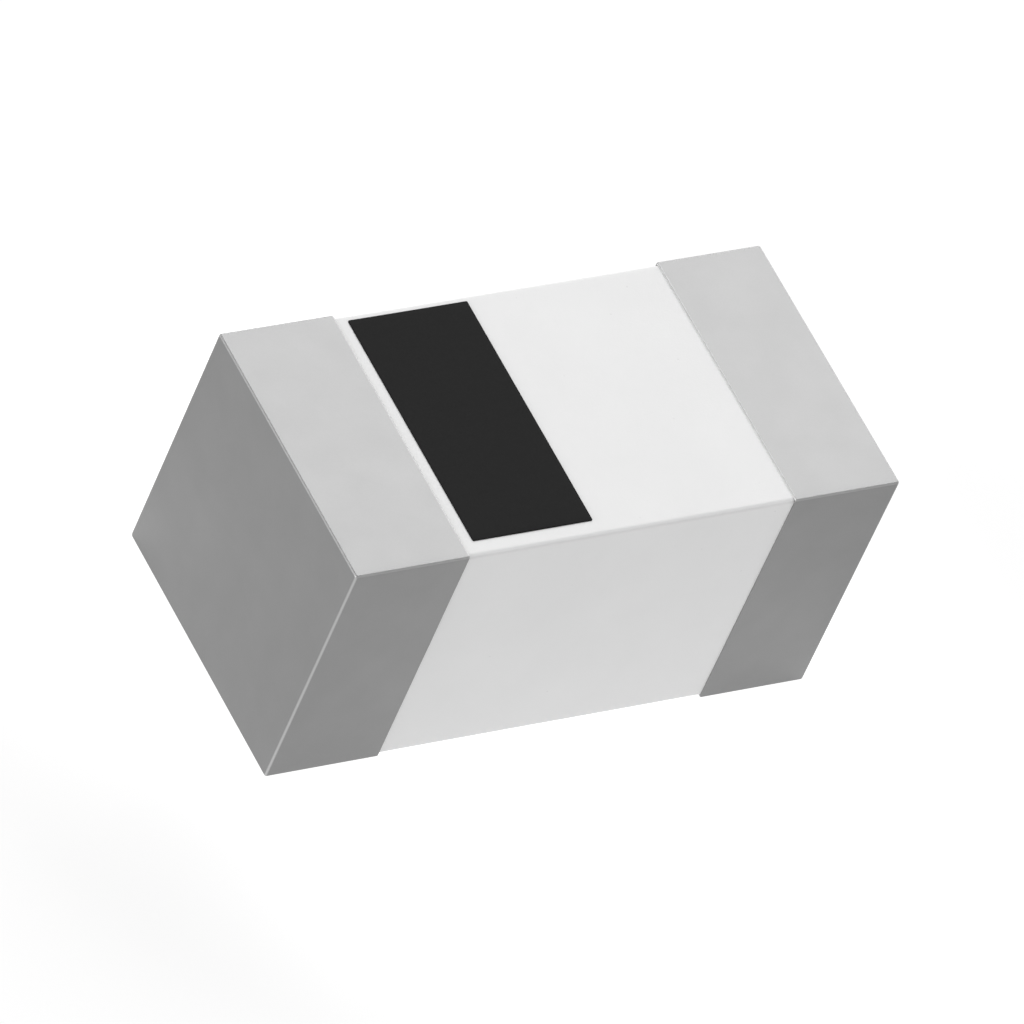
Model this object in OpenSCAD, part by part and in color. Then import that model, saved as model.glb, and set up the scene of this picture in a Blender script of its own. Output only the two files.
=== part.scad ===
// Multilayer ceramic chip inductor of the 1608 metric size: a fired ceramic block with a printed
// silver coil inside it, a direction mark on top and a plated five-sided termination on each end.
// Frame: X along the chip with the marked end at -X, Y across it, Z up, origin at the chip's centre.

/* [Chip] */
// Length over both terminations
chip_l = 1.60; // [1.45:0.05:1.75]
// Width over the terminations
chip_w = 0.81; // [0.65:0.01:0.95]
// Height over the terminations
chip_h = 0.78; // [0.70:0.01:0.95]
// Radius of the tumbled edges of the ceramic block
block_edge_r = 0.012; // [0.008:0.001:0.018]

/* [Terminations] */
// Length of the left termination along the top, the bottom and the sides
left_band_l = 0.332; // [0.200:0.002:0.400]
// Length of the right termination along the top, the bottom and the sides
right_band_l = 0.312; // [0.200:0.002:0.400]
// Thickness of the fired silver on the top, the bottom and the sides
silver_side_t = 0.0010; // [0.0010:0.0005:0.0100]
// Thickness of the fired silver on the end face
silver_end_t = 0.019; // [0.010:0.001:0.030]
// Radius of the silver's outer edges, to which each plating adds its thickness
silver_edge_r = 0.0030; // [0.0015:0.0005:0.0100]
// Thickness of the nickel barrier
nickel_t = 0.0010; // [0.0010:0.0005:0.0040]
// Thickness of the tin plating
tin_t = 0.0020; // [0.0015:0.0005:0.0080]

/* [Direction mark] */
// Length of the mark along the chip
mark_l = 0.35; // [0.15:0.01:0.40]
// Bare ceramic between the mark and the long edge at -Y
mark_near_margin = 0.0455; // [0.0200:0.0005:0.1500]
// Bare ceramic between the mark and the long edge at +Y
mark_far_margin = 0.0205; // [0.0185:0.0005:0.1500]
// Thickness of the printed mark
mark_t = 0.003; // [0.002:0.001:0.010]
// Radius of the mark's corners
mark_corner_r = 0.004; // [0.002:0.001:0.030]
// Bare ceramic between the left termination and the mark
mark_gap = 0.0310; // [0.0100:0.0005:0.0800]

/* [Coil] */
// Number of printed patterns in the stack
pattern_count = 12; // [4:1:14]
// Height from one pattern to the next, the thickness of a fired sheet
sheet_t = 0.040; // [0.030:0.001:0.045]
// Thickness of a printed pattern
track_t = 0.012; // [0.006:0.001:0.018]
// Width of a printed track
track_w = 0.09; // [0.06:0.01:0.12]
// Ceramic between the winding and each end face of the block
coil_end_margin = 0.22; // [0.15:0.01:0.30]
// Ceramic between the winding and each side face of the block
coil_side_margin = 0.11; // [0.08:0.01:0.15]
// Radius of the winding's corners on the centre line of the track
corner_r = 0.10; // [0.07:0.01:0.12]
// Diameter of the round land at each via
land_d = 0.13; // [0.12:0.01:0.16]
// Diameter of a filled via
via_d = 0.07; // [0.04:0.01:0.10]
// Width of a lead-out where it meets the end face
lead_w = 0.22; // [0.12:0.02:0.40]
// Length of that wide stretch
lead_pad_l = 0.06; // [0.04:0.01:0.10]

/* [Hidden] */
$fn = 48;

// Thickness of silver, nickel and tin together on a side and on an end
plating_t = nickel_t + tin_t;
side_build = silver_side_t + plating_t;
end_build = silver_end_t + plating_t;
outer_edge_r = silver_edge_r + plating_t;

// Fired block
block_l = chip_l - 2 * end_build;
block_w = chip_w - 2 * side_build;
block_h = chip_h - 2 * side_build;

// Printed mark
mark_w = block_w - mark_near_margin - mark_far_margin;
mark_x = mark_gap + left_band_l - chip_l / 2 + mark_l / 2;
mark_y = (mark_near_margin - mark_far_margin) / 2;

// Winding over its tracks, its centre line, and the place of each via on the arc of a corner
coil_l = block_l - 2 * coil_end_margin;
coil_w = block_w - 2 * coil_side_margin;
ring_x = (coil_l - track_w) / 2;
ring_y = (coil_w - track_w) / 2;
via_inset = corner_r * (1 - sqrt(1 / 2));
last_pattern = pattern_count - 1;
stack_h = last_pattern * sheet_t + track_t;

// A ray that clears the winding is this many times as long as the one that ends on it
beyond = 3;

// Colours
ceramic_white = "#E5E5E4";
mark_black = "#191919";
tin_grey = "#8F8F8E";
nickel_grey = "#A9A498";
silver_white = "#DEDCD6";

function pattern_name(i) = str("coil_pattern_", i < 9 ? "0" : "", i + 1);

// A rectangle with true round corners, centred on the origin
module rounded_rectangle(l, w, r) {
    square([l, w - 2 * r], center = true);
    square([l - 2 * r, w], center = true);
    for (x = [-1, 1], y = [-1, 1])
        translate([x * (l / 2 - r), y * (w / 2 - r)]) circle(r = r);
}

// A block with all twelve edges round: what its outlines along Z, Y and X have in common
module rounded_block(l, w, h, r) {
    intersection() {
        linear_extrude(height = h, center = true) rounded_rectangle(l, w, r);
        rotate([90, 0, 0])
            linear_extrude(height = w, center = true) rounded_rectangle(l, h, r);
        rotate([90, 0, 90])
            linear_extrude(height = l, center = true) rounded_rectangle(w, h, r);
    }
}

// The fired block as tumbled, with nothing cut from it
module tumbled_block() {
    rounded_block(block_l, block_w, block_h, block_edge_r);
}

// Outside of a termination, or of the metal that lies the given depth below its surface
module termination_block(side, depth) {
    band_l = side < 0 ? left_band_l : right_band_l;
    translate([side * (chip_l - band_l) / 2, 0, 0])
        rounded_block(
            band_l - 2 * depth, chip_w - 2 * depth, chip_h - 2 * depth, outer_edge_r - depth
        );
}

// Silver paste, dipped and fired onto the end of the block
module silver_base(side) {
    color(silver_white)
        difference() {
            termination_block(side, plating_t);
            tumbled_block();
        }
}

// Nickel plated on the silver, and over its rim down to the ceramic
module nickel_barrier(side) {
    color(nickel_grey)
        difference() {
            termination_block(side, tin_t);
            termination_block(side, plating_t);
            tumbled_block();
        }
}

// Tin plated on the nickel, and over its rim down to the ceramic
module tin_plating(side) {
    color(tin_grey)
        difference() {
            termination_block(side, 0);
            termination_block(side, tin_t);
            tumbled_block();
        }
}

// Stations run round the winding from above, one for each corner: 0 at -X -Y, 1 at +X -Y,
// 2 at +X +Y and 3 at -X +Y, and so on for further turns. A half station is the middle of a side.
function corner_point(k) =
    let (side = [[-1, -1], [1, -1], [1, 1], [-1, 1]][k % 4])
    [side.x * (ring_x - via_inset), side.y * (ring_y - via_inset)];
function station_point(s) =
    let (k = floor(s))
    (k + 1 - s) * corner_point(k) + (s - k) * corner_point(k + 1);

// The lowest pattern starts at the left lead-out and ends at the third corner on. Each later one
// starts where the one below it ended and runs three sides, and the highest ends at the right
// lead-out.
side_middle = 1 / 2;
left_lead_station = 3 + side_middle;
right_lead_station = 1 + side_middle;
function start_station(i) = i == 0 ? left_lead_station : 3 + 3 * i;
function end_station(i) =
    i < last_pattern
        ? 6 + 3 * i
        : start_station(i) + (4 + right_lead_station - start_station(i) % 4) % 4;

// Height of a pattern's underside
function pattern_z(i) = i * sheet_t - stack_h / 2;

// The sector, seen from the winding's centre, in which a pattern has no track
module open_sector(i) {
    from = end_station(i);
    to = start_station(i) + 4;
    corners = [for (k = [floor(from) + 1:1:ceil(to) - 1]) k];
    polygon(concat([[0, 0]], [for (s = concat([from], corners, [to])) beyond * station_point(s)]));
}

// Track from the middle of a winding's side to the end face, widened where the silver meets it
module lead_out(side) {
    inner_x = ring_x - track_w / 2;
    outer_x = block_l / 2;
    translate([side * (inner_x + outer_x) / 2, 0])
        square([outer_x - inner_x, track_w], center = true);
    translate([side * (outer_x - lead_pad_l / 2), 0])
        square([lead_pad_l, lead_w], center = true);
}

// One printed pattern, seen from above
module pattern_outline(i) {
    difference() {
        rounded_rectangle(coil_l, coil_w, corner_r + track_w / 2);
        rounded_rectangle(coil_l - 2 * track_w, coil_w - 2 * track_w, corner_r - track_w / 2);
        open_sector(i);
    }
    if (i > 0) translate(station_point(start_station(i))) circle(d = land_d);
    if (i < last_pattern) translate(station_point(end_station(i))) circle(d = land_d);
    if (i == 0) lead_out(-1);
    if (i == last_pattern) lead_out(1);
}

// A fired pattern, with the filled via that reaches down to the pattern below it
module coil_pattern(i) {
    color(silver_white) {
        translate([0, 0, pattern_z(i)]) linear_extrude(height = track_t) pattern_outline(i);
        if (i > 0)
            translate(concat(station_point(start_station(i)), [pattern_z(i - 1) + track_t]))
                cylinder(d = via_d, h = sheet_t);
    }
}

// The fired block with the room that the coil takes up in it
module ceramic_body() {
    color(ceramic_white)
        difference() {
            tumbled_block();
            for (i = [0:last_pattern]) coil_pattern(i);
        }
}

// The printed rectangle on the top, beside the left termination
module direction_mark() {
    color(mark_black)
        translate([mark_x, mark_y, block_h / 2])
            linear_extrude(height = mark_t) rounded_rectangle(mark_l, mark_w, mark_corner_r);
}

ceramic_body();
direction_mark();
silver_base(-1);  // left_silver_base
nickel_barrier(-1);  // left_nickel_barrier
tin_plating(-1);  // left_tin_plating
silver_base(1);  // right_silver_base
nickel_barrier(1);  // right_nickel_barrier
tin_plating(1);  // right_tin_plating
for (i = [0:last_pattern])
    coil_pattern(i);
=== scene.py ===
import math

import bpy
import numpy as np
from mathutils import Matrix, Vector


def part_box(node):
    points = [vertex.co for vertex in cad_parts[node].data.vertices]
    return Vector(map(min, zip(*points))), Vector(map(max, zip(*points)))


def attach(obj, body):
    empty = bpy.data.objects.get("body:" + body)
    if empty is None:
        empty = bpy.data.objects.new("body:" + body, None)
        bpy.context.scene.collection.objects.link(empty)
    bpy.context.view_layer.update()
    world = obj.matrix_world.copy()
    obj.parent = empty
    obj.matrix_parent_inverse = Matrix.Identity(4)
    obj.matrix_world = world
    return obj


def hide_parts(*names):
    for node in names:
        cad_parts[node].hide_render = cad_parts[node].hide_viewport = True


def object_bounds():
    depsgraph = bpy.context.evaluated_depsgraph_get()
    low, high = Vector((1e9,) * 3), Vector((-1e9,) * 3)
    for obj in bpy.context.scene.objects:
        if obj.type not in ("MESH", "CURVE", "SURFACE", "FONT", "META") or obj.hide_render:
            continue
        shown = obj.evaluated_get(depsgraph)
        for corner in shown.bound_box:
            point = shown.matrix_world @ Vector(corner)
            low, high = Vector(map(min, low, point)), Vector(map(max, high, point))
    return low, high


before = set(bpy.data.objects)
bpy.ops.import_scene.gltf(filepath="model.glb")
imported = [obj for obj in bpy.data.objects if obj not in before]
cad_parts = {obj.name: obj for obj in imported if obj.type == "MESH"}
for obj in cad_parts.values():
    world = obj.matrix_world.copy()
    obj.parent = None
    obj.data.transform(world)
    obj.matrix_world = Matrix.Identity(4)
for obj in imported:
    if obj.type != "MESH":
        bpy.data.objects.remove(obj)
cad_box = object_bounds()

# The coil: twelve silver patterns, each screen printed on its own ceramic sheet and joined to the
# one below by a via filled with the same paste. Fired inside the block, the silver is white, matt
# and slightly porous, like unpolished plaster.
MM = 0.001
SILVER_LIGHT = "#E4E2DC"
SILVER_DARK = "#CBC8C0"
SILVER_CLOUD = 0.05 * MM
SILVER_GRAIN = 0.004 * MM
SILVER_RELIEF = 0.0004 * MM
SILVER_SMOOTH = 0.5
SILVER_ROUGH = 0.62


def linear_colour(hex_colour):
    """An sRGB hex colour in linear light: a channel up to 0.04045 is divided by 12.92, and a
    brighter one is raised to 2.4 after 0.055 is added to it and the sum is divided by 1.055."""
    channels = [int(hex_colour[i : i + 2], 16) / 255 for i in (1, 3, 5)]
    linear = [c / 12.92 if c <= 0.04045 else ((c + 0.055) / 1.055) ** 2.4 for c in channels]
    return (*linear, 1.0)


def add_node(tree, kind, settings, links):
    """Adds a node. Each setting is one of its inputs, or else a property of the node itself, and
    each link joins one of its inputs to an output of another node."""
    node = tree.nodes.new(kind)
    for name, value in settings.items():
        if isinstance(name, int) or name in node.inputs:
            node.inputs[name].default_value = value
        else:
            setattr(node, name, value)
    for name, output in links.items():
        tree.links.new(output, node.inputs[name])
    return node


def start_material(name):
    """An empty material, its tree of nodes and the place on the piece that its patterns read."""
    material = bpy.data.materials.new(name)
    material.use_nodes = True
    tree = material.node_tree
    tree.nodes.clear()
    place = add_node(tree, "ShaderNodeTexCoord", {}, {}).outputs["Object"]
    return material, tree, place


def fired_silver():
    """Fired silver paste: tiny crystals scatter the light, so it looks white rather than shiny,
    with faint clouds that are darker and rougher where the paste left more pores."""
    material, tree, place = start_material("fired silver paste")
    cloud = add_node(
        tree,
        "ShaderNodeTexNoise",
        {"Scale": 1 / SILVER_CLOUD, "Detail": 2.0},
        {"Vector": place},
    )
    grain = add_node(
        tree,
        "ShaderNodeTexVoronoi",
        {"Scale": 1 / SILVER_GRAIN},
        {"Vector": place},
    )
    colour = add_node(
        tree,
        "ShaderNodeMix",
        {"data_type": "RGBA", 6: linear_colour(SILVER_DARK), 7: linear_colour(SILVER_LIGHT)},
        {0: cloud.outputs["Fac"]},
    )
    rough = add_node(
        tree,
        "ShaderNodeMapRange",
        {"To Min": SILVER_ROUGH, "To Max": SILVER_SMOOTH},
        {"Value": cloud.outputs["Fac"]},
    )
    relief = add_node(
        tree,
        "ShaderNodeBump",
        {"Strength": 0.6, "Distance": SILVER_RELIEF},
        {"Height": grain.outputs["Distance"]},
    )
    surface = add_node(
        tree,
        "ShaderNodeBsdfPrincipled",
        {"Metallic": 1.0},
        {
            "Base Color": colour.outputs[2],
            "Roughness": rough.outputs["Result"],
            "Normal": relief.outputs["Normal"],
        },
    )
    add_node(tree, "ShaderNodeOutputMaterial", {}, {"Surface": surface.outputs["BSDF"]})
    return material


def set_material(node_name, material):
    """Puts the material in place of whatever the CAD node came with."""
    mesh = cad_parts[node_name].data
    mesh.materials.clear()
    mesh.materials.append(material)


silver = fired_silver()
for node_name in sorted(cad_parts):
    if node_name.startswith("coil_pattern_"):
        set_material(node_name, silver)

# The ceramic block: the stack of white glass-ceramic sheets, pressed, cut and fired into one body,
# then tumbled with grit until all its edges are round. The fired faces are matt and never quite
# flat, with fine grains and a few pores.
NANOMETRE = 1e-6 * MM
BLOCK_EDGE = 0.012 * MM
BLOCK_CELL = 0.016 * MM
EDGE_STEPS = 8
GUARD = 0.0015 * MM
DIP = 0.0005 * MM
DIP_FADE = 0.05 * MM
DIP_WAVES = (
    (13.1, 9.7, 4.2, 0.0),
    (-7.9, 15.3, -8.8, 2.5664),
    (10.4, -6.1, 16.9, 0.0),
)
CERAMIC_LIGHT = "#E8E8E8"
CERAMIC_DARK = "#E2E2E2"
CERAMIC_PORE = "#DADADA"
# The whiter colour halfway round the rounded edges: tumbling wear and a painted highlight.
CERAMIC_WORN_AND_HIGHLIT = "#F6F6F6"
CERAMIC_CLOUD = 0.22 * MM
CERAMIC_GRAIN = 0.006 * MM
CERAMIC_RELIEF = 0.0006 * MM
CERAMIC_SMOOTH = 0.5
CERAMIC_ROUGH = 0.66
LIGHT_SPREAD = 0.02 * MM
PORE_SPACING = 0.06 * MM
PORE_FLOOR = 0.0012 * MM
PORE_RIM = 0.003 * MM


def lines_along(low, high, radius):
    """Places of the grid lines along one axis. On the flat they are evenly spaced, with one more
    at each end, so close that the edge's smooth shading doesn't spread over the flat. On a
    rounded edge each lies beyond the flat by the radius times the tangent of an angle, and the
    angles run in even steps from zero to the middle of the edge."""
    tangents = radius * np.tan(np.linspace(0, math.pi / 4, EDGE_STEPS + 1))
    flat_low = low + radius
    flat_high = high - radius
    cells = round((flat_high - flat_low) / BLOCK_CELL)
    flat = np.linspace(flat_low + GUARD, flat_high - GUARD, cells + 1)
    return np.concatenate([flat_low - tangents[::-1], flat, flat_high + tangents])


def quads_of_grid(rows, columns, first):
    """Corners of every cell of a grid whose points are numbered row by row from the first."""
    row, column = np.meshgrid(np.arange(rows - 1), np.arange(columns - 1), indexing="ij")
    corner = first + (row * columns + column).ravel()
    return np.stack([corner, corner + columns, corner + columns + 1, corner + 1], axis=1)


def rounded_block(low, high, radius):
    """Points, outward directions and quads of a block with round edges. A point of the plain
    block is drawn in to the nearest point of the block that is smaller by the radius on every
    side, and then pushed back out by the radius in the direction from there to where it was."""
    lines = [lines_along(low[axis], high[axis], radius) for axis in range(3)]
    points = []
    quads = []
    count = 0
    for axis in range(3):
        first, second = (axis + 1) % 3, (axis + 2) % 3
        u, v = np.meshgrid(lines[first], lines[second], indexing="ij")
        for end in (low[axis], high[axis]):
            side = np.empty((u.size, 3))
            side[:, axis] = end
            side[:, first] = u.ravel()
            side[:, second] = v.ravel()
            faces = quads_of_grid(*u.shape, count)
            points.append(side)
            quads.append(faces if end > low[axis] else faces[:, ::-1])
            count += u.size
    plain = np.concatenate(points)
    core = np.clip(plain, low + radius, high - radius)
    outward = plain - core
    outward /= np.linalg.norm(outward, axis=1, keepdims=True)
    return core + radius * outward, outward, np.concatenate(quads)


def merged(points, quads):
    """The same faces with each place numbered once, and the number of the point kept for each."""
    _, kept, number = np.unique(
        np.round(points / NANOMETRE), axis=0, return_index=True, return_inverse=True
    )
    return points[kept], number.ravel()[quads], kept


def make_piece(name, points, faces, material, slot, *replaced):
    """A smooth mesh object on the root body, in place of the CAD nodes that it stands for."""
    mesh = bpy.data.meshes.new(name)
    mesh.from_pydata(points.tolist(), [], faces)
    mesh.polygons.foreach_set("use_smooth", np.ones(len(mesh.polygons), dtype=bool))
    mesh.materials.append(material)
    mesh.update()
    piece = bpy.data.objects.new(name, mesh)
    bpy.context.scene.collection.objects.link(piece)
    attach(piece, "root")
    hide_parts(*replaced)
    return piece


def set_wear_and_highlight(piece, wear_and_highlight):
    """Stores the wear and painted highlight of each point of the mesh, 0 to 1, for its material to
    read.
    """
    attribute = piece.data.attributes.new("worn_and_highlit", "FLOAT", "POINT")
    attribute.data.foreach_set("value", np.clip(wear_and_highlight, 0, 1).astype(np.float32))


rim_x = min(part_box("right_tin_plating")[0].x, -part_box("left_tin_plating")[1].x)


def dip(x, y, z):
    """Depth of the fired face below the true one: half the greatest depth, plus as much again
    times the mean of some long sine waves, faded out smoothly where the terminations sit. Each
    wave has its radians per millimetre along X, Y and Z, and the angle that it starts from."""
    waves = [np.sin((a * x + b * y + c * z) / MM + start) for a, b, c, start in DIP_WAVES]
    fade = np.clip((rim_x - np.abs(x)) / DIP_FADE, 0, 1)
    return DIP * (0.5 + 0.5 * np.mean(waves, axis=0)) * fade * fade * (3 - 2 * fade)


def fired_ceramic():
    """Fired glass ceramic: white and matt, slightly translucent, with grains, faint clouds and
    sparse pores that are a little darker. Its tumbled edges are worn, and they are painted whiter
    as a painted highlight. The grains are drawn coarser than real ones, so that they show."""
    material, tree, place = start_material("fired glass ceramic")
    cloud = add_node(
        tree,
        "ShaderNodeTexNoise",
        {"Scale": 1 / CERAMIC_CLOUD, "Detail": 3.0},
        {"Vector": place},
    )
    grain = add_node(
        tree,
        "ShaderNodeTexNoise",
        {"Scale": 1 / CERAMIC_GRAIN, "Detail": 2.0},
        {"Vector": place},
    )
    pores = add_node(
        tree,
        "ShaderNodeTexVoronoi",
        {"Scale": 1 / PORE_SPACING, "Randomness": 1.0},
        {"Vector": place},
    )
    pore = add_node(
        tree,
        "ShaderNodeMapRange",
        {
            "From Min": PORE_FLOOR / PORE_SPACING,
            "From Max": PORE_RIM / PORE_SPACING,
            "To Min": 1.0,
            "To Max": 0.0,
        },
        {"Value": pores.outputs["Distance"]},
    )
    white = add_node(
        tree,
        "ShaderNodeMix",
        {"data_type": "RGBA", 6: linear_colour(CERAMIC_DARK), 7: linear_colour(CERAMIC_LIGHT)},
        {0: cloud.outputs["Fac"]},
    )
    pitted = add_node(
        tree,
        "ShaderNodeMix",
        {"data_type": "RGBA", 7: linear_colour(CERAMIC_PORE)},
        {0: pore.outputs["Result"], 6: white.outputs[2]},
    )
    # Whiter halfway round each rounded edge: tumbling wear and a painted highlight.
    worn_and_highlit = add_node(tree, "ShaderNodeAttribute", {"attribute_name": "worn_and_highlit"}, {})
    colour = add_node(
        tree,
        "ShaderNodeMix",
        {"data_type": "RGBA", 7: linear_colour(CERAMIC_WORN_AND_HIGHLIT)},
        {0: worn_and_highlit.outputs["Fac"], 6: pitted.outputs[2]},
    )
    rough = add_node(
        tree,
        "ShaderNodeMapRange",
        {"To Min": CERAMIC_SMOOTH, "To Max": CERAMIC_ROUGH},
        {"Value": grain.outputs["Fac"]},
    )
    height = add_node(
        tree,
        "ShaderNodeMath",
        {"operation": "SUBTRACT"},
        {0: grain.outputs["Fac"], 1: pore.outputs["Result"]},
    )
    relief = add_node(
        tree,
        "ShaderNodeBump",
        {"Strength": 0.35, "Distance": CERAMIC_RELIEF},
        {"Height": height.outputs["Value"]},
    )
    surface = add_node(
        tree,
        "ShaderNodeBsdfPrincipled",
        {
            "IOR": 1.55,
            "Subsurface Weight": 0.25,
            "Subsurface Radius": (1.0, 1.0, 1.0),
            "Subsurface Scale": LIGHT_SPREAD,
        },
        {
            "Base Color": colour.outputs[2],
            "Roughness": rough.outputs["Result"],
            "Normal": relief.outputs["Normal"],
        },
    )
    add_node(tree, "ShaderNodeOutputMaterial", {}, {"Surface": surface.outputs["BSDF"]})
    return material


block_low, block_high = (np.array(corner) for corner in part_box("ceramic_body"))
surface_points, outward, block_quads = rounded_block(block_low, block_high, BLOCK_EDGE)
dipped_points = surface_points - outward * dip(*surface_points.T)[:, None]
block_points, block_quads, kept = merged(dipped_points, block_quads)
block = make_piece(
    "fired_ceramic_block",
    block_points,
    block_quads.tolist(),
    fired_ceramic(),
    "glass_ceramic",
    "ceramic_body",
)

# Wear and painted highlight: none where a point faces straight along an axis, whole halfway round
# an edge
straight_on = np.abs(outward[kept]).max(axis=1)
set_wear_and_highlight(block, (1 - straight_on) / (1 - math.sqrt(1 / 2)))

# The direction mark: one rectangle of black marking paste, screen printed on the top beside the
# termination where the coil starts. It is a thin matt film with a rounded edge, and has faint
# dimples from the weave of the screen.
MARK_CORNER = 0.004 * MM
MARK_EDGE = 0.0012 * MM
MARK_SINK = 0.0005 * MM
MARK_RINGS = 21
MARK_EDGE_STEPS = 4
SIDE_STEPS = 40
CORNER_STEPS = 8
MARK_BLACK = "#151515"
MARK_GREY = "#191919"
MARK_GRAIN = 0.005 * MM
MARK_RELIEF = 0.0005 * MM
MARK_SMOOTH = 0.62
MARK_ROUGH = 0.8
SCREEN_PITCH = 0.045 * MM
WAVE_FACTOR = 20


def outline_weights():
    """What a loop round a rectangle with round corners is made of, point by point: how much of
    the half length and half width of the corners' centres, and how much of the corner's radius.
    On a corner the radius goes with the cosine and sine, and along a side all four run evenly
    from one corner to the next."""
    angles = np.linspace(0, math.pi / 2, CORNER_STEPS + 1)
    rows = []
    for quarter, (x, y) in enumerate([(1, 1), (-1, 1), (-1, -1), (1, -1)]):
        turn = angles + quarter * math.pi / 2
        corner = [np.full(turn.size, x), np.full(turn.size, y), np.cos(turn), np.sin(turn)]
        rows.append(np.stack(corner, axis=1))
    loop = []
    for quarter in range(4):
        start = rows[quarter][-1]
        end = rows[(quarter + 1) % 4][0]
        share = np.linspace(0, 1, SIDE_STEPS + 1)[1:-1, None]
        loop.append(rows[quarter])
        loop.append(start * (1 - share) + end * share)
    return np.concatenate(loop)


def loops(half_length, half_width, corner):
    """Loops round rectangles with round corners, one for each value of the three sizes. A point
    is the corner's centre plus the radius in its direction, by the weights of the outline."""
    weights = outline_weights()
    corner = corner[:, None]
    length = half_length[:, None] - corner
    width = half_width[:, None] - corner
    first = weights[:, 0] * length + weights[:, 2] * corner
    second = weights[:, 1] * width + weights[:, 3] * corner
    return first, second


def tube_faces(rings, around):
    """Quads between neighbouring loops, and a fan at each end to a centre point. The points of
    the loops come first, then the centre of the first loop and the centre of the last."""
    ring, spoke = np.meshgrid(np.arange(rings - 1), np.arange(around), indexing="ij")
    following = (spoke + 1) % around
    near = (ring * around + spoke).ravel()
    near_next = (ring * around + following).ravel()
    quads = np.stack([near, near_next, near_next + around, near + around], axis=1)
    spokes = np.arange(around)
    nexts = (spokes + 1) % around
    last = (rings - 1) * around
    first_fan = np.stack([np.full(around, rings * around), nexts, spokes], axis=1)
    last_fan = np.stack([np.full(around, rings * around + 1), last + spokes, last + nexts], axis=1)
    return quads.tolist() + first_fan.tolist() + last_fan.tolist()


def profile_rows(*columns):
    """Rows of a profile from its columns, where a single value holds for every row."""
    return np.stack(np.broadcast_arrays(*columns), axis=1)


def film_profile(film):
    """The section of the printed film, from the middle of its underside out to its outline,
    straight up, over a quarter of a circle and back to the middle of its top. Each row has the
    inset from the outline, the share of the full loop and the height above the ceramic."""
    share = np.linspace(0, 1, MARK_RINGS + 1)[1:-1]
    arc = np.linspace(0, math.pi / 2, MARK_EDGE_STEPS + 1)
    inset = MARK_EDGE * (1 - np.cos(arc))
    height = film - MARK_EDGE * (1 - np.sin(arc))
    height[0] = -MARK_SINK
    return np.concatenate(
        [
            profile_rows(0.0, share, -MARK_SINK),
            profile_rows(inset, 1.0, height),
            profile_rows(MARK_EDGE, share[::-1], film),
        ]
    )


def printed_film(low, high):
    """Points and faces of the film: its profile carried round a rectangle with round corners, and
    every point lowered by the dip of the ceramic under it."""
    centre = (low + high) / 2
    half_x, half_y, _ = (high - low) / 2
    film = high[2] - low[2]
    inset, share, height = film_profile(film).T
    x, y = loops((half_x - inset) * share, (half_y - inset) * share, (MARK_CORNER - inset) * share)
    rings, around = x.shape
    x = np.append(x.ravel(), [0, 0]) + centre[0]
    y = np.append(y.ravel(), [0, 0]) + centre[1]
    height = np.append(np.repeat(height, around), [-MARK_SINK, film])
    z = low[2] - dip(x, y, low[2]) + height
    return np.stack([x, y, z], axis=1), tube_faces(rings, around)


def marking_paste():
    """Fired marking paste: a dead black film of grains, some a little greyer, drawn coarser than
    real ones, so that they show. The weave is two crossed waves. A wave is the sine of the place
    times its scale times a fixed factor, so its scale is a full turn divided by that factor and
    by the screen's pitch."""
    material, tree, place = start_material("black marking paste")
    waves = 2 * math.pi / (WAVE_FACTOR * SCREEN_PITCH)
    across, along = (
        add_node(
            tree,
            "ShaderNodeTexWave",
            {"Scale": waves, "bands_direction": direction, "Distortion": 0.6},
            {"Vector": place},
        )
        for direction in ("X", "Y")
    )
    weave = add_node(
        tree,
        "ShaderNodeMath",
        {"operation": "MULTIPLY"},
        {0: across.outputs["Fac"], 1: along.outputs["Fac"]},
    )
    grain = add_node(
        tree,
        "ShaderNodeTexNoise",
        {"Scale": 1 / MARK_GRAIN, "Detail": 2.0},
        {"Vector": place},
    )
    colour = add_node(
        tree,
        "ShaderNodeMix",
        {"data_type": "RGBA", 6: linear_colour(MARK_BLACK), 7: linear_colour(MARK_GREY)},
        {0: grain.outputs["Fac"]},
    )
    rough = add_node(
        tree,
        "ShaderNodeMapRange",
        {"To Min": MARK_SMOOTH, "To Max": MARK_ROUGH},
        {"Value": grain.outputs["Fac"]},
    )
    height = add_node(
        tree,
        "ShaderNodeMath",
        {"operation": "ADD"},
        {0: grain.outputs["Fac"], 1: weave.outputs["Value"]},
    )
    relief = add_node(
        tree,
        "ShaderNodeBump",
        {"Strength": 0.3, "Distance": MARK_RELIEF},
        {"Height": height.outputs["Value"]},
    )
    surface = add_node(
        tree,
        "ShaderNodeBsdfPrincipled",
        {"Specular IOR Level": 0.13},
        {
            "Base Color": colour.outputs[2],
            "Roughness": rough.outputs["Result"],
            "Normal": relief.outputs["Normal"],
        },
    )
    add_node(tree, "ShaderNodeOutputMaterial", {}, {"Surface": surface.outputs["BSDF"]})
    return material


mark_low, mark_high = (np.array(corner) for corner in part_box("direction_mark"))
mark_points, mark_faces = printed_film(mark_low, mark_high)
make_piece(
    "printed_direction_mark",
    mark_points,
    mark_faces,
    marking_paste(),
    "mark_ink",
    "direction_mark",
)

# The terminations start as silver paste: each end of the block is dipped in it and fired. Sealed
# under the plating, it is the same white matt silver as the coil, whose lead-out it meets on the
# end face.
for node_name in ("left_silver_base", "right_silver_base"):
    set_material(node_name, silver)

# The nickel barrier: a thin layer plated on the silver in a barrel, so that molten solder can't
# dissolve it. Plated nickel is even and satin, with a warm yellowish grey.
NICKEL_LIGHT = "#B5AFA2"
NICKEL_DARK = "#A39D91"
NICKEL_GRAIN = 0.003 * MM
NICKEL_RELIEF = 0.0002 * MM
NICKEL_SMOOTH = 0.3
NICKEL_ROUGH = 0.4


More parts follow.
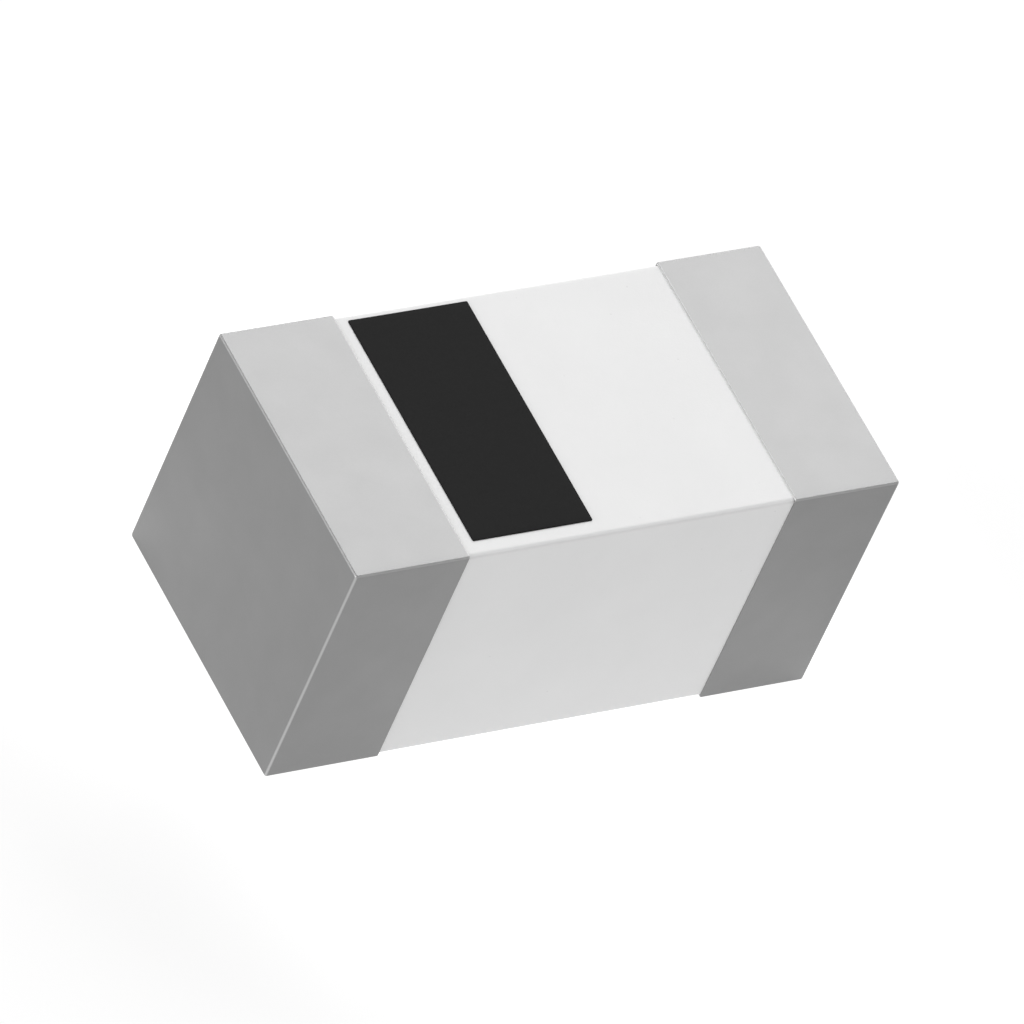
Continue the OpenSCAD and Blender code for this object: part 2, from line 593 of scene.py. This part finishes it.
def plated_nickel():
    """Barrel-plated nickel: a warm grey satin metal with very fine, even grains."""
    material, tree, place = start_material("barrel-plated nickel")
    grain = add_node(
        tree,
        "ShaderNodeTexNoise",
        {"Scale": 1 / NICKEL_GRAIN, "Detail": 2.0},
        {"Vector": place},
    )
    colour = add_node(
        tree,
        "ShaderNodeMix",
        {"data_type": "RGBA", 6: linear_colour(NICKEL_DARK), 7: linear_colour(NICKEL_LIGHT)},
        {0: grain.outputs["Fac"]},
    )
    rough = add_node(
        tree,
        "ShaderNodeMapRange",
        {"To Min": NICKEL_SMOOTH, "To Max": NICKEL_ROUGH},
        {"Value": grain.outputs["Fac"]},
    )
    relief = add_node(
        tree,
        "ShaderNodeBump",
        {"Strength": 0.3, "Distance": NICKEL_RELIEF},
        {"Height": grain.outputs["Fac"]},
    )
    surface = add_node(
        tree,
        "ShaderNodeBsdfPrincipled",
        {"Metallic": 1.0},
        {
            "Base Color": colour.outputs[2],
            "Roughness": rough.outputs["Result"],
            "Normal": relief.outputs["Normal"],
        },
    )
    add_node(tree, "ShaderNodeOutputMaterial", {}, {"Surface": surface.outputs["BSDF"]})
    return material


nickel = plated_nickel()
for node_name in ("left_nickel_barrier", "right_nickel_barrier"):
    set_material(node_name, nickel)

# The tin plating: matt tin over the nickel, the metal that takes the solder. It wraps five sides of
# each end and turns down over a rim that is never quite straight. The plating barrel rubs its edges
# smoother, and they are painted brighter, partly for that wear and partly as a painted highlight.
# The lip on the top and the underside is painted brighter too, as a painted highlight.
TIN_EDGE = 0.006 * MM
RIM_TAPER = 0.005 * MM
RIM_WANDER = 0.0006 * MM
WANDER_WAVES = ((3, 0), (7, 1), (16, 2))
WANDER_POWER = 4
FOOT_SINK = 0.0003 * MM
FOOT_GUARD = 0.0003 * MM
END_RINGS = 20
BAND_RINGS = 22
ARC_RINGS = 8
RIM_RINGS = 10
INNER_RINGS = 5
INNER_END_STEP = 4
# How far the tin's rounded edges are painted lighter: barrel wear and a painted highlight.
EDGE_WEAR_AND_HIGHLIGHT = 0.35
TIN_LIGHT = "#929292"
TIN_DARK = "#8B8B8B"
# The light grey that edges and lip take: wear and painted highlight on edges, painted highlight on
# the lip.
TIN_RUBBED_AND_HIGHLIT = "#F0F0F0"
TIN_CLOUD = 0.12 * MM
TIN_GRAIN = 0.005 * MM
TIN_RELIEF = 0.0003 * MM
TIN_SMOOTH = 0.5
TIN_ROUGH = 0.56
RUBBED_AND_HIGHLIT_SHARE = 0.75


def matt_tin():
    """Plated matt tin: a soft grey metal whose fine crystals blur every reflection. Its edges are
    rubbed and painted lighter as a highlight, and its lip is painted lighter as a highlight; there
    a share of its roughness is left."""
    material, tree, place = start_material("plated matt tin")
    rubbed_and_highlit = add_node(tree, "ShaderNodeAttribute", {"attribute_name": "worn_and_highlit"}, {})
    cloud = add_node(
        tree,
        "ShaderNodeTexNoise",
        {"Scale": 1 / TIN_CLOUD, "Detail": 3.0},
        {"Vector": place},
    )
    grain = add_node(
        tree,
        "ShaderNodeTexNoise",
        {"Scale": 1 / TIN_GRAIN, "Detail": 2.0},
        {"Vector": place},
    )
    grey = add_node(
        tree,
        "ShaderNodeMix",
        {"data_type": "RGBA", 6: linear_colour(TIN_DARK), 7: linear_colour(TIN_LIGHT)},
        {0: cloud.outputs["Fac"]},
    )
    # Lighter on the marked edges and lip: wear and painted highlight on edges, painted highlight on
    # the lip.
    colour = add_node(
        tree,
        "ShaderNodeMix",
        {"data_type": "RGBA", 7: linear_colour(TIN_RUBBED_AND_HIGHLIT)},
        {0: rubbed_and_highlit.outputs["Fac"], 6: grey.outputs[2]},
    )
    rough = add_node(
        tree,
        "ShaderNodeMapRange",
        {"To Min": TIN_SMOOTH, "To Max": TIN_ROUGH},
        {"Value": grain.outputs["Fac"]},
    )
    left_over = add_node(
        tree,
        "ShaderNodeMapRange",
        {"To Min": 1.0, "To Max": RUBBED_AND_HIGHLIT_SHARE},
        {"Value": rubbed_and_highlit.outputs["Fac"]},
    )
    finish = add_node(
        tree,
        "ShaderNodeMath",
        {"operation": "MULTIPLY"},
        {0: rough.outputs["Result"], 1: left_over.outputs["Result"]},
    )
    relief = add_node(
        tree,
        "ShaderNodeBump",
        {"Strength": 0.3, "Distance": TIN_RELIEF},
        {"Height": grain.outputs["Fac"]},
    )
    surface = add_node(
        tree,
        "ShaderNodeBsdfPrincipled",
        {"Metallic": 1.0},
        {
            "Base Color": colour.outputs[2],
            "Roughness": finish.outputs["Value"],
            "Normal": relief.outputs["Normal"],
        },
    )
    add_node(tree, "ShaderNodeOutputMaterial", {}, {"Surface": surface.outputs["BSDF"]})
    return material


tin_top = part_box("left_tin_plating")[1].z
tin_thickness = tin_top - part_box("left_nickel_barrier")[1].z
side_build = tin_top - block_high[2]


def termination_profile(length):
    """The section of the plating along the chip, from the middle of the end face out, over the
    round edge, along the band and down a quarter of an ellipse to the ceramic, then back along the
    nickel to the middle again. Each row has the distance from the end face, the depth below the
    outer surface, the radius of the section's corners, the share of the full loop, and the wear and
    painted highlight: both on the round edge, painted highlight alone on the lip."""
    inner = TIN_EDGE - tin_thickness
    grow = np.linspace(0, 1, END_RINGS + 1)[1:-1]
    arc = np.linspace(0, math.pi / 2, ARC_RINGS + 1)
    taper_start = length - RIM_TAPER
    band = np.linspace(TIN_EDGE + GUARD, taper_start - GUARD, BAND_RINGS)
    taper = np.linspace(0, math.pi / 2, RIM_RINGS + 1)
    foot = side_build + FOOT_SINK

    # In the CAD, nickel and tin turn down over the rim in quarter circles round one centre, and
    # the ceramic cuts both off. Here the tin's inner side climbs the nickel from that cut.
    rim_centre = length - math.sqrt(TIN_EDGE**2 - (TIN_EDGE - side_build) ** 2)
    nickel_foot = math.asin((TIN_EDGE - side_build) / inner)
    climb = np.linspace(nickel_foot, math.pi / 2, ARC_RINGS + 1)
    inner_band = np.linspace(rim_centre, TIN_EDGE, INNER_RINGS + 1)[1:-1]
    return np.concatenate(
        [
            profile_rows(0.0, TIN_EDGE, TIN_EDGE, grow, 0.0),
            profile_rows(0.0, [TIN_EDGE + GUARD], TIN_EDGE, 1.0, 0.0),
            # Over the round edge, the wear and painted highlight rise towards the middle of the
            # arc.
            profile_rows(
                TIN_EDGE * (1 - np.cos(arc)),
                TIN_EDGE * (1 - np.sin(arc)),
                TIN_EDGE,
                1.0,
                EDGE_WEAR_AND_HIGHLIGHT * np.sin(2 * arc),
            ),
            profile_rows(band, 0.0, TIN_EDGE, 1.0, 0.0),
            # Down the lip, the painted highlight grows with the sine of the taper.
            profile_rows(
                taper_start + RIM_TAPER * np.sin(taper),
                side_build * (1 - np.cos(taper)),
                TIN_EDGE,
                1.0,
                np.sin(taper),
            ),
            profile_rows([length - FOOT_SINK], foot, BLOCK_EDGE, 1.0, 0.0),
            profile_rows(
                [rim_centre + inner * math.cos(nickel_foot) + FOOT_GUARD],
                foot,
                BLOCK_EDGE,
                1.0,
                0.0,
            ),
            profile_rows(
                rim_centre + inner * np.cos(climb),
                TIN_EDGE - inner * np.sin(climb),
                inner,
                1.0,
                0.0,
            ),
            profile_rows(inner_band, tin_thickness, inner, 1.0, 0.0),
            profile_rows(
                TIN_EDGE - inner * np.sin(arc),
                TIN_EDGE - inner * np.cos(arc),
                inner,
                1.0,
                0.0,
            ),
            profile_rows(tin_thickness, TIN_EDGE, inner, grow[::-INNER_END_STEP], 0.0),
        ]
    )


def tin_plating(side, node_name, name, material):
    """The plating of one end: its profile carried round the section's rounded rectangle. The rim
    wanders back towards the end by the mean of some sines of the angle round the loop, and the
    rings before it follow by a power of their share of the length. The painted highlight of the lip
    goes with the square of how far it faces up or down, and the wear and painted highlight of the
    corners with the sine of twice the angle that they face at."""
    low, high = (np.array(corner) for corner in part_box(node_name))
    length = high[0] - low[0]
    _, half_y, half_z = (high - low) / 2
    distance, depth, corner, share, wear_and_highlight = termination_profile(length).T
    y, z = loops((half_y - depth) * share, (half_z - depth) * share, corner * share)
    rings, around = y.shape
    angle = np.linspace(0, 2 * math.pi, around, endpoint=False) + side
    wander = np.mean([np.sin(times * angle + start) for times, start in WANDER_WAVES], axis=0)
    follow = np.clip(distance / length, 0, 1)[:, None] ** WANDER_POWER
    reach = distance[:, None] - follow * RIM_WANDER * (0.5 + 0.5 * wander)

    facing_y, facing_z = np.abs(outline_weights()[:, 2:].T)
    # The lip is painted lighter only where it faces up or down, as a painted highlight; its sides
    # stay dark.
    on_lip = (distance > length - RIM_TAPER)[:, None]
    wear_and_highlight = np.where(on_lip, wear_and_highlight[:, None] * facing_z**2, wear_and_highlight[:, None])
    # The corners along the band are painted lighter as well: wear and a painted highlight.
    outside = ((share == 1) & (depth < tin_thickness - NANOMETRE))[:, None]
    wear_and_highlight = np.maximum(wear_and_highlight, EDGE_WEAR_AND_HIGHLIGHT * 2 * facing_y * facing_z * outside)

    end = high[0] if side > 0 else low[0]
    x = np.append((end - side * reach).ravel(), [end, end - side * tin_thickness])
    y = np.append(y.ravel(), [0, 0])
    z = np.append(z.ravel(), [0, 0])
    faces = tube_faces(rings, around)
    if side > 0:
        faces = [face[::-1] for face in faces]
    piece = make_piece(name, np.stack([x, y, z], axis=1), faces, material, "plated_tin", node_name)
    set_wear_and_highlight(piece, np.append(wear_and_highlight.ravel(), [0, 0]))


tin = matt_tin()
tin_plating(-1, "left_tin_plating", "left_matt_tin_plating", tin)
tin_plating(1, "right_tin_plating", "right_matt_tin_plating", tin)

# The board that the chip lies on: a white sheet lit from below, most of all round the chip, so
# that the chip casts almost no shadow.
BOARD_HALF = 28 * MM
BOARD_WHITE = "#AAAAAA"
BOARD_GREY = "#A8A8A8"
BOARD_CLOUD = 5 * MM
BOARD_GLOW = 0.63
HALO_GLOW = 0.31
HALO_INNER = 0.7 * MM
HALO_OUTER = 1.6 * MM


def lit_board():
    """White board lit from below: an even pale matt surface with a very faint clouding, whose own
    light is strongest within a circle round the chip and fades smoothly outside it."""
    material, tree, place = start_material("white board lit from below")
    cloud = add_node(tree, "ShaderNodeTexNoise", {"Scale": 1 / BOARD_CLOUD}, {"Vector": place})
    colour = add_node(
        tree,
        "ShaderNodeMix",
        {"data_type": "RGBA", 6: linear_colour(BOARD_GREY), 7: linear_colour(BOARD_WHITE)},
        {0: cloud.outputs["Fac"]},
    )
    level = add_node(
        tree,
        "ShaderNodeVectorMath",
        {"operation": "MULTIPLY", 1: (1.0, 1.0, 0.0)},
        {0: place},
    )
    radius = add_node(
        tree,
        "ShaderNodeVectorMath",
        {"operation": "LENGTH"},
        {0: level.outputs["Vector"]},
    )
    glow = add_node(
        tree,
        "ShaderNodeMapRange",
        {
            "interpolation_type": "SMOOTHSTEP",
            "From Min": HALO_INNER,
            "From Max": HALO_OUTER,
            "To Min": BOARD_GLOW + HALO_GLOW,
            "To Max": BOARD_GLOW,
        },
        {"Value": radius.outputs["Value"]},
    )
    surface = add_node(
        tree,
        "ShaderNodeBsdfPrincipled",
        {"Roughness": 0.9, "Specular IOR Level": 0.1, "Emission Color": (1.0, 1.0, 1.0, 1.0)},
        {"Base Color": colour.outputs[2], "Emission Strength": glow.outputs["Result"]},
    )
    add_node(tree, "ShaderNodeOutputMaterial", {}, {"Surface": surface.outputs["BSDF"]})
    return material


board_z = cad_box[0].z
board_mesh = bpy.data.meshes.new("floor")
board_mesh.from_pydata(
    [(x * BOARD_HALF, y * BOARD_HALF, board_z) for x, y in ((-1, -1), (1, -1), (1, 1), (-1, 1))],
    [],
    [(0, 1, 2, 3)],
)
board_mesh.materials.append(lit_board())
board = bpy.data.objects.new("floor", board_mesh)
bpy.context.scene.collection.objects.link(board)

# The lamps: a large softbox behind the chip, a long low one on its left, and two faint ones higher
# up, at the rear left and the front right. A white studio fills in what they leave dark.
LAMP_DISTANCE = 52 * MM
LAMP_WIDTH = 40 * MM
LOW_HEIGHT = 16 * MM
STUDIO_GLOW = 0.4


def soft_light(name, azimuth, elevation, height, radiance):
    """A flat lamp that faces the chip. The azimuth is counted from +X towards +Y, and the power
    is the radiance times pi times the lamp's area."""
    lamp = bpy.data.lights.new(name, "AREA")
    lamp.shape = "RECTANGLE"
    lamp.size = LAMP_WIDTH
    lamp.size_y = height
    lamp.energy = radiance * math.pi * LAMP_WIDTH * height
    turn = math.radians(azimuth)
    rise = math.radians(elevation)
    towards = Vector(
        (math.cos(turn) * math.cos(rise), math.sin(turn) * math.cos(rise), math.sin(rise))
    )
    light = bpy.data.objects.new(name, lamp)
    light.location = towards * LAMP_DISTANCE
    light.rotation_mode = "QUATERNION"
    light.rotation_quaternion = (-towards).to_track_quat("-Z", "Y")
    light.visible_camera = False
    bpy.context.scene.collection.objects.link(light)


soft_light("rear softbox", azimuth=45, elevation=45, height=LAMP_WIDTH, radiance=4.25)
soft_light("low softbox on the left", azimuth=180, elevation=12, height=LOW_HEIGHT, radiance=4.7)
soft_light(
    "raised softbox at the rear left",
    azimuth=144,
    elevation=30,
    height=LOW_HEIGHT,
    radiance=0.6,
)
soft_light(
    "raised softbox at the front right",
    azimuth=306,
    elevation=30,
    height=LOW_HEIGHT,
    radiance=0.65,
)

studio = bpy.data.worlds.new("white studio")
studio.use_nodes = True
studio.node_tree.nodes.clear()
background = add_node(
    studio.node_tree,
    "ShaderNodeBackground",
    {"Color": (1.0, 1.0, 1.0, 1.0), "Strength": STUDIO_GLOW},
    {},
)
add_node(studio.node_tree, "ShaderNodeOutputWorld", {}, {"Surface": background.outputs[0]})
bpy.context.scene.world = studio
bpy.context.scene.view_settings.view_transform = "Standard"

# The camera: a long lens 37 mm away from the chip, so that the chip's edges converge only a
# little. It looks down along one corner of the chip, tilted to one side.
CAMERA_PLACE = Vector((-18.627, -18.731, 25.962)) * MM
CAMERA_AIM = Vector((0.50273, 0.50562, -0.70115))
CAMERA_UP = Vector((0.14718, 0.74919, 0.64579))
FOCAL_LENGTH = 515.48
SENSOR_WIDTH = 36.0
NEAREST_SEEN = 0.1 * MM
FURTHEST_SEEN = 1000 * MM

lens = bpy.data.cameras.new("camera")
lens.sensor_width = SENSOR_WIDTH
lens.lens = FOCAL_LENGTH
lens.clip_start = NEAREST_SEEN
lens.clip_end = FURTHEST_SEEN
back = -CAMERA_AIM.normalized()
right = CAMERA_UP.cross(back).normalized()
up = back.cross(right)
turned = Matrix((right, up, back)).transposed().to_4x4()
camera = bpy.data.objects.new("camera", lens)
camera.matrix_world = Matrix.Translation(CAMERA_PLACE) @ turned
bpy.context.scene.collection.objects.link(camera)
bpy.context.scene.camera = camera
